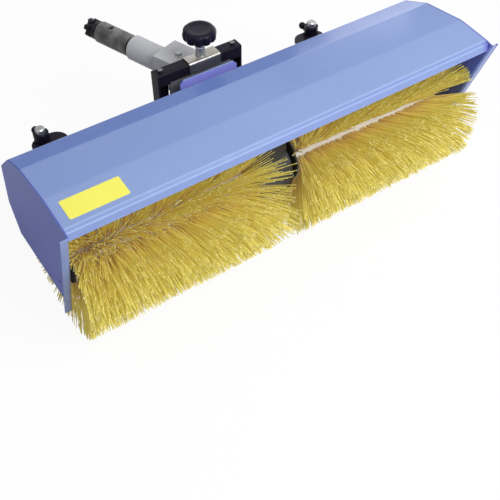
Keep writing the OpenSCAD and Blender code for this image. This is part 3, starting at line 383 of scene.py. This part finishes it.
def strand_plastic():
    """Yellow strands, tan at the root, golden along, pale at the cut end, no two quite alike."""
    # The strands glow faintly in their own colour: painted light that lifts the shade between them
    f = Finish("yellow_strands", Specular_IOR_Level=0.22, Emission_Strength=0.11)
    along, shade = (
        f.add("ShaderNodeAttribute", {"attribute_name": name}, out="Fac")
        for name in ("along", "shade")
    )
    stops = [
        (0.0, linear(210, 178, 112)), (0.15, linear(219, 193, 117)), (0.4, linear(226, 207, 117)),
        (0.7, linear(222, 208, 110)), (1.0, linear(208, 196, 94)),
    ]
    uneven = (along + 0.3 * shade - 0.15).clamped()
    tint = f.add("ShaderNodeValToRGB", {"stops": stops}, {"Fac": uneven})
    pale, cut_end = f.spread(shade, 0.84, 0.99), f.spread(along, 0.97, 0.995)
    tint = f.mix(pale * 0.4, tint, (250, 240, 168))
    tint = f.mix(cut_end * 0.5, tint, (250, 242, 196))
    f.feed("Base Color", tint)
    f.feed("Emission Color", tint)
    f.feed("Roughness", 0.45 + 0.2 * shade)
    return f.material


# Moulding lines along the brush
CORE_LINES = (120.0, 3.0, (0.12, 1.0, 1.0))

FINISHES = {
    "blue_paint": hood_paint(),
    # Black stove enamel with worn shine
    "black_paint": plain(
        "frame_black_enamel", (20, 18, 27), (32, 29, 41), cloud=(30.0, 3.0), dull=(0.28, 0.16),
        grain=(300.0, 2.0), relief=(0.12, 0.0005), Specular_IOR_Level=0.07,
    ),
    "zinc": zinc_plate(),
    "bright_steel": bright_steel(),
    "dark_steel": turned_steel(),
    "grey_casting": grey_casting(),
    # Dark grey painted cast iron
    "gear_casting": plain(
        "gearbox_cast_iron", (40, 41, 43), (58, 59, 61), cloud=(22.0, 3.0), dull=(0.5, 0.16),
        grain=(190.0, 4.0, None, 0.6), relief=(0.25, 0.0008),
    ),
    "bronze": plain(
        "worm_wheel_bronze", (164, 116, 58), (192, 148, 84), cloud=(45.0, 3.0), dull=(0.3, 0.15),
        grain=(500.0, 2.0), relief=(0.1, 0.0004), Metallic=1.0,
    ),
    # Beige moulded plastic
    "core": plain(
        "beige_brush_core", (190, 189, 184), (212, 211, 207), cloud=CORE_LINES, dull=(0.5, 0.1),
        grain=CORE_LINES, relief=(0.1, 0.0005),
    ),
    # Moulded plastic with a faint blue shine
    "black_plastic": plain(
        "black_moulded_plastic", (19, 18, 30), (31, 29, 46), cloud=(40.0, 3.0), dull=(0.26, 0.14),
        grain=(900.0, 2.0), relief=(0.06, 0.0004), Specular_IOR_Level=0.10,
    ),
    "seal_rubber": rubber("seal_rubber", (26, 26, 28), (40, 40, 42)),
    "tyre_rubber": rubber("tyre_rubber", (34, 34, 36), (58, 58, 60)),
    "rim_plastic": plain(
        "grey_rim_plastic", (150, 152, 156), (170, 172, 175), cloud=(36.0, 3.0), dull=(0.42, 0.14),
        grain=(400.0, 2.0), relief=(0.1, 0.0005),
    ),
    "black_steel": black_steel(),
    "bristle": strand_plastic(),
}


def dress_frame():
    """Every node of the frame gets the finish of its slot in the record."""
    slot_of = {row["node"]: row["material_slot"] for row in frame["record"]["subparts"]}
    for name, obj in NODES.items():
        finish = FINISHES[slot_of[name]]
        if not obj.data.materials:
            obj.data.materials.append(finish)
        for index in range(len(obj.data.materials)):
            obj.data.materials[index] = finish


# Geometry trees


class Grower(Tree):
    """A geometry tree with named inputs, whose result becomes one plain mesh."""

    KINDS = {
        int: "NodeSocketInt", float: "NodeSocketFloat", bpy.types.Material: "NodeSocketMaterial",
    }

    def __init__(self, name, sizes):
        super().__init__(bpy.data.node_groups.new(name, "GeometryNodeTree"))
        self.sizes = sizes
        sockets = self.node_tree.interface
        sockets.new_socket("Geometry", in_out="OUTPUT", socket_type="NodeSocketGeometry")
        sockets.new_socket("Path", in_out="INPUT", socket_type="NodeSocketGeometry")
        for label, value in sizes.items():
            kind = next(k for t, k in self.KINDS.items() if isinstance(value, t))
            sockets.new_socket(label, in_out="INPUT", socket_type=kind)
        self.inlet = self.nodes.new("NodeGroupInput")

    def size(self, label):
        """One of the tree's named inputs."""
        return Socket(self, self.inlet.outputs[label])

    def chance(self, number, low=0.0, high=1.0, group=None):
        """A random number for each point or group of points, one stream for each number."""
        # A Random Value node has its range of floats at the sockets 2 and 3
        sockets = {2: low, 3: high, "Seed": self.size("Seed") + number}
        if group:
            sockets.update({"ID": group, "Seed": number})
        return self.add("FunctionNodeRandomValue", {"data_type": "FLOAT"}, sockets, out=1)

    def vector(self, x, y, z):
        return self.add("ShaderNodeCombineXYZ", {}, {"X": x, "Y": y, "Z": z})

    def close(self, instances):
        """Turns the instances into one mesh with the finish, as the tree's result."""
        real = self.add("GeometryNodeRealizeInstances", {}, {"Geometry": instances})
        sockets = {"Geometry": real, "Material": self.size("Finish")}
        done = self.add("GeometryNodeSetMaterial", {}, sockets)
        outlet = self.nodes.new("NodeGroupOutput")
        self.links.new(done.socket, outlet.inputs[0])

    def grow(self, name, paths=(), **changes):
        """A mesh object made by the tree along paths, with some of its sizes changed."""
        lines, places = [], []
        for path in paths:
            lines += [(len(places) + k, len(places) + k + 1) for k in range(len(path) - 1)]
            places += path
        seed = bpy.data.objects.new(name + "_seed", bpy.data.meshes.new(name + "_seed"))
        seed.data.from_pydata(places, lines, [])
        scene.collection.objects.link(seed)
        modifier = seed.modifiers.new(name, "NODES")
        modifier.node_group = self.node_tree
        labels = {label.replace(" ", "_"): label for label in self.sizes}
        values = {**self.sizes, **{labels[k]: v for k, v in changes.items()}}
        for item in self.node_tree.interface.items_tree:
            if item.in_out == "INPUT" and item.name in values:
                modifier[item.identifier] = values[item.name]
        seed.update_tag()
        graph = bpy.context.evaluated_depsgraph_get()
        mesh = bpy.data.meshes.new_from_object(seed.evaluated_get(graph), depsgraph=graph)
        bpy.data.objects.remove(seed)
        mesh.name = name
        obj = bpy.data.objects.new(name, mesh)
        scene.collection.objects.link(obj)
        return obj


def bent_strands(g, bends):
    """Strands of unit length and radius, one for each bend, to pick from."""
    bundle = g.nodes.new("GeometryNodeJoinGeometry")
    for bend in bends:
        cone = g.add(
            "GeometryNodeMeshCone", {"fill_type": "NGON"},
            {
                "Vertices": 3, "Side Segments": 2, "Radius Bottom": 1.0, "Radius Top": 0.7,
                "Depth": 1.0,
            },
        )
        height = g.axis(g.add("GeometryNodeInputPosition"), "Z")
        marked = g.add(
            "GeometryNodeStoreNamedAttribute", {"data_type": "FLOAT", "domain": "POINT"},
            {"Geometry": cone, "Name": "along", "Value": height},
        )
        curved = g.add(
            "GeometryNodeSetPosition", {},
            {"Geometry": marked, "Offset": g.vector(bend * height * (1 - height) * 2, 0.0, 0.0)},
        )
        strand = g.add("GeometryNodeGeometryToInstance", {}, {0: curved})
        g.links.new(strand.socket, bundle.inputs[0])
    return Socket(g, bundle.outputs[0])


def strand_tree():
    """Strands in rows round a core, spread at the tips and leaning out at both ends."""
    g = Grower(
        "brush_strands",
        {
            "Strands": 5200, "Rows": 20, "Tufts": 23, "Side": 1.0,
            "Axis y": AXIS.y, "Axis z": AXIS.z,
            "Root radius": CORE_R - 0.001, "Tip radius": TIP_R - 0.0006,
            "Inner end": CORE_IN + 0.001, "Outer end": CORE_OUT - 0.001,
            "Root parting": 0.17, "Root twist": 0.86, "Tip parting": 0.65, "Tip twist": 0.23,
            "Root seam": 0.087, "Tip seam": 0.22, "Root spread": 0.6, "Tip spread": 0.8,
            "Stray": 0.10, "Lean in": 0.072, "Lean out": 0.052, "Reach": 0.5025,
            "Thickness": 0.0012, "Seed": 1, "Finish": FINISHES["bristle"],
        },
    )
    row = (g.chance(2) * g.size("Rows")).floor()
    tuft = (g.chance(1) * g.size("Tufts")).floor()
    # The strands of a tuft share a number, which no tuft of the other half has
    group = row * 64 + tuft + 4096 * g.size("Side").above(0.0)
    across, beside = g.chance(3, -0.5, 0.5), g.chance(14, -0.5, 0.5)
    length_of_core = g.size("Outer end") - g.size("Inner end")
    pitch = length_of_core / g.size("Tufts")
    share = (tuft + 0.5 + 0.75 * beside) / g.size("Tufts")
    run = length_of_core * share
    x = g.size("Inner end") + run

    def turn_of(end, place):
        """The turn of a place counted in rows. Two half shells leave a bare seam between them."""
        half_way = g.size("Rows") / 2
        shell = place.above(half_way)
        seam = g.size(end + " seam") * (1 - 0.85 * share ** 5.0)
        on_shell = (place - half_way * shell) * (math.pi - seam) / half_way
        turn = math.pi * shell + seam / 2 + on_shell
        return turn + g.size(end + " parting") + g.size(end + " twist") * run

    def polar(along, radius, turn):
        """A place on the brush from its turn about the axis, which begins at the front."""
        return g.vector(
            g.size("Side") * along,
            g.size("Axis y") - radius * turn.cos(),
            g.size("Axis z") + radius * turn.sin(),
        )

    # Roots sit in the rows. Tips stray from them, lean at the ends and are cut unevenly
    root_turn = turn_of("Root", row + 0.5 + across * g.size("Root spread"))
    stray = g.size("Stray") * (0.5 * g.chance(4, -1.0, 1.0) + g.chance(15, -1.0, 1.0, group))
    tip_turn = turn_of("Tip", row + 0.5 + across * g.size("Tip spread") + stray)
    lean_in = g.size("Lean in") * (1 - share) ** 3.2 * g.chance(5, 0.45, 1.0)
    lean_out = g.size("Lean out") * share ** 4.0 * g.chance(6, 0.25, 1.1)
    fan = 0.5 * pitch * beside + g.chance(7, -0.003, 0.003) + g.chance(16, -0.006, 0.006, group)
    furthest = g.size("Reach") - 0.008 * g.chance(18) ** 2.0
    x_tip = (x + lean_out - lean_in + fan).least(furthest)
    own_cut, tuft_cut = 0.012 * g.chance(8) ** 2.5, 0.005 * g.chance(17, 0.0, 1.0, group)
    root = polar(x, g.size("Root radius"), root_turn)
    tip = polar(x_tip, g.size("Tip radius") - own_cut - tuft_cut, tip_turn)

    way = g.add("ShaderNodeVectorMath", {"operation": "SUBTRACT"}, {0: tip, 1: root})
    length = g.add("ShaderNodeVectorMath", {"operation": "LENGTH"}, {0: way}, out="Value")
    points = g.add("GeometryNodePoints", {}, {"Count": g.size("Strands"), "Position": root})
    turned = g.add("FunctionNodeAlignRotationToVector", {"axis": "Z"}, {"Vector": way})
    roll = g.add("FunctionNodeAxisAngleToRotation", {}, {"Angle": g.chance(9, 0.0, 2 * math.pi)})
    rolled = g.add(
        "FunctionNodeRotateRotation", {"rotation_space": "LOCAL"},
        {"Rotation": turned, "Rotate By": roll},
    )

    # A Random Value node has its range of whole numbers at the sockets 4 and 5
    bends = (0.0, 0.8, 1.6, 2.6)
    picked = g.add(
        "FunctionNodeRandomValue", {"data_type": "INT"}, {4: 0, 5: len(bends) - 1, "Seed": 11},
        out=2,
    )
    thick = g.size("Thickness") * g.chance(10, 0.85, 1.15)
    strands = g.add(
        "GeometryNodeInstanceOnPoints", {},
        {
            "Points": points, "Instance": bent_strands(g, bends), "Pick Instance": True,
            "Instance Index": picked, "Rotation": rolled,
            "Scale": g.vector(thick, thick, length),
        },
    )
    shaded = g.add(
        "GeometryNodeStoreNamedAttribute", {"data_type": "FLOAT", "domain": "INSTANCE"},
        {"Geometry": strands, "Name": "shade", "Value": g.chance(12)},
    )
    g.close(shaded)
    return g


def make_brush():
    """Two bunches of strands for each half, so that each piece stays light."""
    tree = strand_tree()
    left = dict(
        Side=-1.0, Root_seam=0.035, Tip_seam=0.10, Root_spread=0.8, Tip_spread=0.85, Stray=0.16,
        Lean_out=0.062,
    )
    right = dict(
        Side=1.0, Root_seam=0.060, Tip_seam=0.20, Root_spread=0.72, Tip_spread=0.80, Stray=0.10,
        Lean_out=0.064,
    )
    # Where the seam lies, in degrees at the inner and outer end of the core, for roots and tips
    for half, sizes, roots, tips, seeds in (
        ("left", left, (27, 26), (29.5, 29.5), (12, 54)),
        ("right", right, (38, 32), (38.5, 36.5), (24, 66)),
    ):
        for end, (inner, outer) in (("Root", roots), ("Tip", tips)):
            sizes[end + "_parting"] = math.radians(inner)
            sizes[end + "_twist"] = math.radians(outer - inner) / (CORE_OUT - CORE_IN)
        for bunch, seed in zip(("first", "second"), seeds):
            strands = tree.grow(f"{half}_strands_{bunch}", Seed=seed, **sizes)
            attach(strands, "brush")
            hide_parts(half + "_bristles")


# Pieces made vertex by vertex


def add_piece(name, shape, finish):
    """An object with a finish, made of a bmesh shape, which is freed."""
    data = bpy.data.meshes.new(name)
    shape.to_mesh(data)
    shape.free()
    piece = bpy.data.objects.new(name, data)
    scene.collection.objects.link(piece)
    data.materials.append(finish)
    return piece


def lathe(name, middle, outline, finish, flutes=(), lobes=0, steps=48):
    """A turned piece about an upright axis, with flutes of a depth that changes with the height."""

    def depth(z):
        for (za, da), (zb, db) in zip(flutes, flutes[1:]):
            if za <= z <= zb:
                return da + (db - da) * (z - za) / (zb - za)
        return 0.0

    shape = bmesh.new()
    rings = []
    for r, z in outline:
        ring = []
        for k in range(steps):
            turn = 2 * math.pi * k / steps
            # The power makes the flutes narrower than the lobes
            flute = ((1 + math.cos(lobes * turn)) / 2) ** 2.2
            reach = r * (1 - depth(z) * flute)
            place = Vector((reach * math.cos(turn), reach * math.sin(turn), z))
            ring.append(shape.verts.new(middle + place))
        rings.append(ring)
    for a, b in zip(rings, rings[1:]):
        for k in range(steps):
            j = (k + 1) % steps
            shape.faces.new((a[k], a[j], b[j], b[k]))
    for ring in (rings[0], rings[-1]):
        shape.faces.new(ring)
    bmesh.ops.recalc_face_normals(shape, faces=shape.faces)
    for face in shape.faces:
        face.smooth = len(face.verts) == 4
    piece = add_piece(name, shape, FINISHES[finish])
    return piece


# Radius and height of the star knob from its bore, round its foot and rim, to the dished top
KNOB_OUTLINE = [
    (0.0062, 0.040), (0.0062, 0.013), (0.0135, 0.013), (0.015, 0.0140), (0.0175, 0.0170),
    (0.024, 0.0205), (0.031, 0.0234), (0.0358, 0.0262), (0.0382, 0.030), (0.0391, 0.035),
    (0.0390, 0.040), (0.0382, 0.0442), (0.0366, 0.0475), (0.0340, 0.0498), (0.0305, 0.0510),
    (0.0270, 0.0513), (0.0240, 0.0508), (0.0215, 0.0500), (0.0150, 0.0494), (0.0070, 0.0492),
    (0.0010, 0.0492),
]
# Height, and the depth of the flutes between its lobes as a share of the radius
KNOB_FLUTES = [
    (0.0150, 0.0), (0.0205, 0.07), (0.0262, 0.115), (0.036, 0.115), (0.0442, 0.06), (0.0505, 0.0),
]
BUSH_OUTLINE = [
    (0.0061, 0.0), (0.0105, 0.0), (0.0112, 0.0007), (0.0112, 0.0050), (0.0104, 0.0058),
    (0.0104, 0.0070), (0.0112, 0.0078), (0.0112, 0.0150), (0.0061, 0.0150),
]


def make_star_knob():
    """The star knob with its lobes and dished top, and the steel bush in its foot."""
    low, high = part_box("star_knob")
    middle = Vector(((low.x + high.x) / 2, (low.y + high.y) / 2, low.z))
    knob = lathe(
        "lobed_knob", middle, KNOB_OUTLINE, "black_plastic", KNOB_FLUTES, lobes=10, steps=160
    )
    bush = lathe("knob_bush", middle, BUSH_OUTLINE, "bright_steel")
    for piece in (knob, bush):
        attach(piece, "knob_body")
        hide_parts("star_knob")


def make_bare_plate():
    """The bare yellow plate glued to the front panel of the hood, with round corners."""
    left, right, front, back = -0.482, -0.364, AXIS.y - 0.130, AXIS.y - 0.083
    corner, thick, steps = 0.003, 0.0005, 4
    slope = (CREST_FOLD[1] - FRONT_FOLD[1]) / (CREST_FOLD[0] - FRONT_FOLD[0])

    def on_panel(x, y, rise):
        return x, y, FRONT_FOLD[1] + (y - FRONT_FOLD[0]) * slope + rise

    rim = []
    for cx, cy, start in (
        (right - corner, back - corner, 0), (left + corner, back - corner, 90),
        (left + corner, front + corner, 180), (right - corner, front + corner, 270),
    ):
        for k in range(steps + 1):
            turn = math.radians(start + 90 * k / steps)
            rim.append((cx + corner * math.cos(turn), cy + corner * math.sin(turn)))
    shape = bmesh.new()
    low = [shape.verts.new(on_panel(x, y, 0.0)) for x, y in rim]
    high = [shape.verts.new(on_panel(x, y, thick)) for x, y in rim]
    shape.faces.new(high)
    shape.faces.new(low[::-1])
    for k in range(len(rim)):
        j = (k + 1) % len(rim)
        shape.faces.new((low[k], low[j], high[j], high[k]))
    bmesh.ops.recalc_face_normals(shape, faces=shape.faces)
    finish = plain(
        "bare_yellow_plate", (228, 222, 88), (234, 229, 100), cloud=(40.0, 3.0),
        dull=(0.34, 0.16), grain=(600.0, 2.0), relief=(0.05, 0.0003),
    )
    plate = add_piece("bare_plate", shape, finish)
    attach(plate, "housing")


def weld_tree():
    """Beads of weld laid one over the other along a path."""
    g = Grower(
        "weld_beads",
        {"Pitch": 0.0022, "Width": 0.0024, "Seed": 3, "Finish": FINISHES["blue_paint"]},
    )
    seam = g.add("GeometryNodeMeshToCurve", {}, {"Mesh": g.size("Path")})
    spots = g.add(
        "GeometryNodeCurveToPoints", {"mode": "LENGTH"}, {"Curve": seam, "Length": g.size("Pitch")}
    )
    turn = Socket(g, spots.socket.node.outputs["Rotation"])
    ball = g.add("GeometryNodeMeshUVSphere", {}, {"Segments": 8, "Rings": 5, "Radius": 1.0})
    bead = g.add("GeometryNodeSetShadeSmooth", {}, {"Geometry": ball})
    width = g.size("Width") * g.chance(1, 0.85, 1.2)
    scale = g.vector(width, width, width * 0.8)
    g.close(g.add(
        "GeometryNodeInstanceOnPoints", {},
        {"Points": spots, "Instance": bead, "Rotation": turn, "Scale": scale},
    ))
    return g


def make_welds():
    """Welds of the blue lugs and guard on the hood, and of the sleeves on their brackets."""
    lug_faces, lug_heights = (0.112, 0.116), (0.231, 0.2, 0.1703, 0.14, 0.111)
    guard_span, guard_heights = (0.026, 0.073), (0.2644, 0.2498)
    sleeve_x, sleeve_y, sleeve_r, bracket_heights = 0.3765, AXIS.y + 0.305, 0.0176, (0.214, 0.220)
    sleeve_turns = [math.radians(36 + 12 * k) for k in range(25)]

    def on_wall(z):
        """The y of the hood's rear wall at a height."""
        upper = z > WALL_FOLDS[1][1]
        (ya, za), (yb, zb) = WALL_FOLDS[:2] if upper else WALL_FOLDS[1:]
        return ya + (yb - ya) * (z - za) / (zb - za)

    blue, black = [], []
    for side in (-1, 1):
        for x in lug_faces:
            blue.append([(side * x, on_wall(z), z) for z in lug_heights])
        for z in guard_heights:
            blue.append([(side * x, on_wall(z), z) for x in guard_span])
        for z in bracket_heights:
            black.append([
                (side * sleeve_x + sleeve_r * math.sin(a), sleeve_y + sleeve_r * math.cos(a), z)
                for a in sleeve_turns
            ])
    tree = weld_tree()
    for name, paths, finish in (
        ("hood_welds", blue, "blue_paint"), ("bracket_welds", black, "black_paint"),
    ):
        welds = tree.grow(name, paths, Finish=FINISHES[finish])
        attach(welds, "housing")


# Studio


def looked_at(tree):
    """Eye and mirror: one where either of them looks at a surface, zero where it only lights."""
    return [tree.add("ShaderNodeLightPath", out=ray) for ray in ("Is Camera Ray", "Is Glossy Ray")]


def set_camera():
    """The camera of the photograph, recovered from the straight edges of the hood."""
    place = (-0.7492, AXIS.y - 1.0742, 1.3801)
    right, down = (0.8278, -0.5611, 0.0), (-0.4205, -0.6204, -0.6620)
    ahead = (0.3714, 0.5480, -0.7495)
    camera = bpy.data.objects.new("camera", bpy.data.cameras.new("camera"))
    scene.collection.objects.link(camera)
    turn = Matrix([right, [-c for c in down], [-c for c in ahead]]).transposed()
    camera.matrix_world = Matrix.Translation(place) @ turn.to_4x4()
    camera.data.lens, camera.data.sensor_width = 56.58, 36.0
    scene.camera = camera


def set_surround():
    """A white surround, dim for mirrors behind the object, up to a bright wall at the right."""
    dim = 0.3
    world = bpy.data.worlds.new("surround")
    scene.world = world
    world.use_nodes = True
    sky = Tree(world.node_tree)
    back = sky.nodes["Background"]
    back.inputs["Color"].default_value = (1, 1, 1, 1)
    eye, mirror = looked_at(sky)
    way = sky.add("ShaderNodeTexCoord", out="Generated")
    x, y, z = (sky.axis(way, name) for name in "XYZ")
    wall = sky.spread(0.824 * x - 0.566 * y, -0.02, 0.02)
    ceiling = sky.spread(z - 0.55, -0.1, 0.1)
    front = sky.spread(0 - y, -0.1, 0.1)
    bright = (eye + mirror * wall.most(ceiling).most(front)).clamped()
    sky.links.new((dim + (1 - dim) * bright).socket, back.inputs["Strength"])


def lay_floor():
    """Pale paper under the object, with the light of the bright wall on it."""
    half_width, drop, grey = 14.0, 0.0005, 0.86
    paper = bpy.data.materials.new("pale_paper")
    paper.use_nodes = True
    p = Tree(paper.node_tree)
    p.nodes.remove(p.nodes["Principled BSDF"])
    eye, mirror = looked_at(p)
    spot = p.add("ShaderNodeTexCoord", out="Object")
    x, y = (p.axis(spot, name) for name in "XY")
    # The edge of the light: a place on it and the way across it
    edge_x, edge_y, across_x, across_y = 0.243, -0.137, 0.8368, -0.5476
    lit = p.spread(across_x * (x - edge_x) + across_y * (y - edge_y), -0.03, 0.03)
    share = (0.93 * eye + mirror * (0.15 + 0.75 * lit)).clamped()
    matt = p.add("ShaderNodeBsdfDiffuse", {}, {"Color": (grey, grey, grey, 1)})
    glow = p.add(
        "ShaderNodeEmission", {}, {"Color": (1, 1, 1, 1), "Strength": 1 + lit * mirror}
    )
    both = p.add("ShaderNodeMixShader", {}, {0: share, 1: matt, 2: glow})
    p.links.new(both.socket, p.nodes["Material Output"].inputs["Surface"])
    sheet = bmesh.new()
    bmesh.ops.create_grid(sheet, x_segments=1, y_segments=1, size=half_width)
    floor = add_piece("floor", sheet, paper)
    floor.location.z = -drop


def hang_lamps():
    """Soft lamps: where each hangs, what it is aimed at, its size and its power."""
    for name, place, aim, size, watts in (
        ("key_lamp", (0.5, -2.1, 2.3), (0.0, -0.1, 0.2), 2.0, 100.0),
        ("rear_lamp", (0.9, 2.8, 1.6), (0.0, 0.0, 0.2), 1.8, 10.0),
        ("end_lamp", (0.95, 0.75, 0.62), (0.45, -0.06, 0.35), 0.5, 1.5),
    ):
        lamp = bpy.data.lights.new(name, "AREA")
        lamp.size, lamp.energy = size, watts
        obj = bpy.data.objects.new(name, lamp)
        scene.collection.objects.link(obj)
        obj.location = place
        way = Vector(aim) - Vector(place)
        obj.rotation_euler = way.to_track_quat("-Z", "Y").to_euler()


set_camera()
set_surround()
lay_floor()
hang_lamps()
dress_frame()
make_brush()
make_bare_plate()
make_star_knob()
make_welds()
